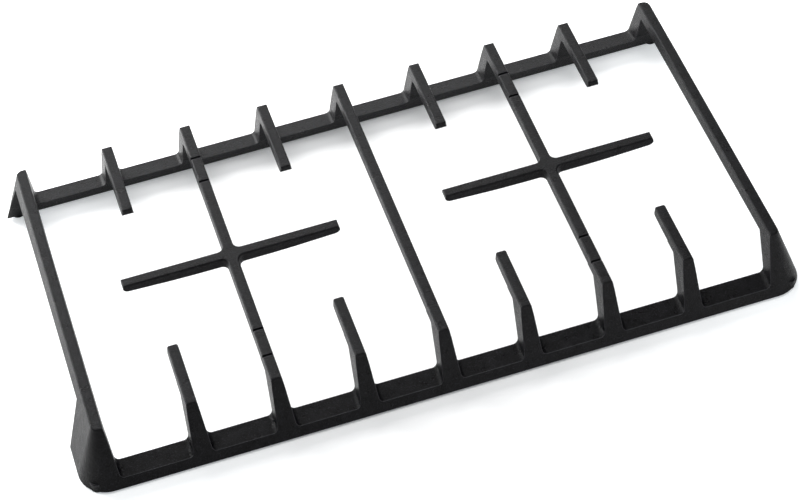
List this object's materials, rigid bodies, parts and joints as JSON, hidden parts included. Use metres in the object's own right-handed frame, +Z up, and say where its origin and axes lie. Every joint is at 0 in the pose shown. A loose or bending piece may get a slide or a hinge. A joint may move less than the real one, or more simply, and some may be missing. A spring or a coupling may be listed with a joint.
{
  "type": "hob pan support",
  "caption": "Rectangular iron pan support for a two-burner gas hob: bars, fingers and cross arms over a leaning skirt.",
  "frame": {"origin": "on the hob plate under the middle of the support, level with the undersides of its foot pads", "axes": "+X along the length over both burners, +Y from the front to the rear, +Z up to the pan"},
  "size_m": [0.4872, 0.2622, 0.047],
  "materials": {
    "casting": "matt black enamel with a fine grain"
  },
  "bodies": {
    "root": {"pan_support": "casting"}
  },
  "joints": []
}
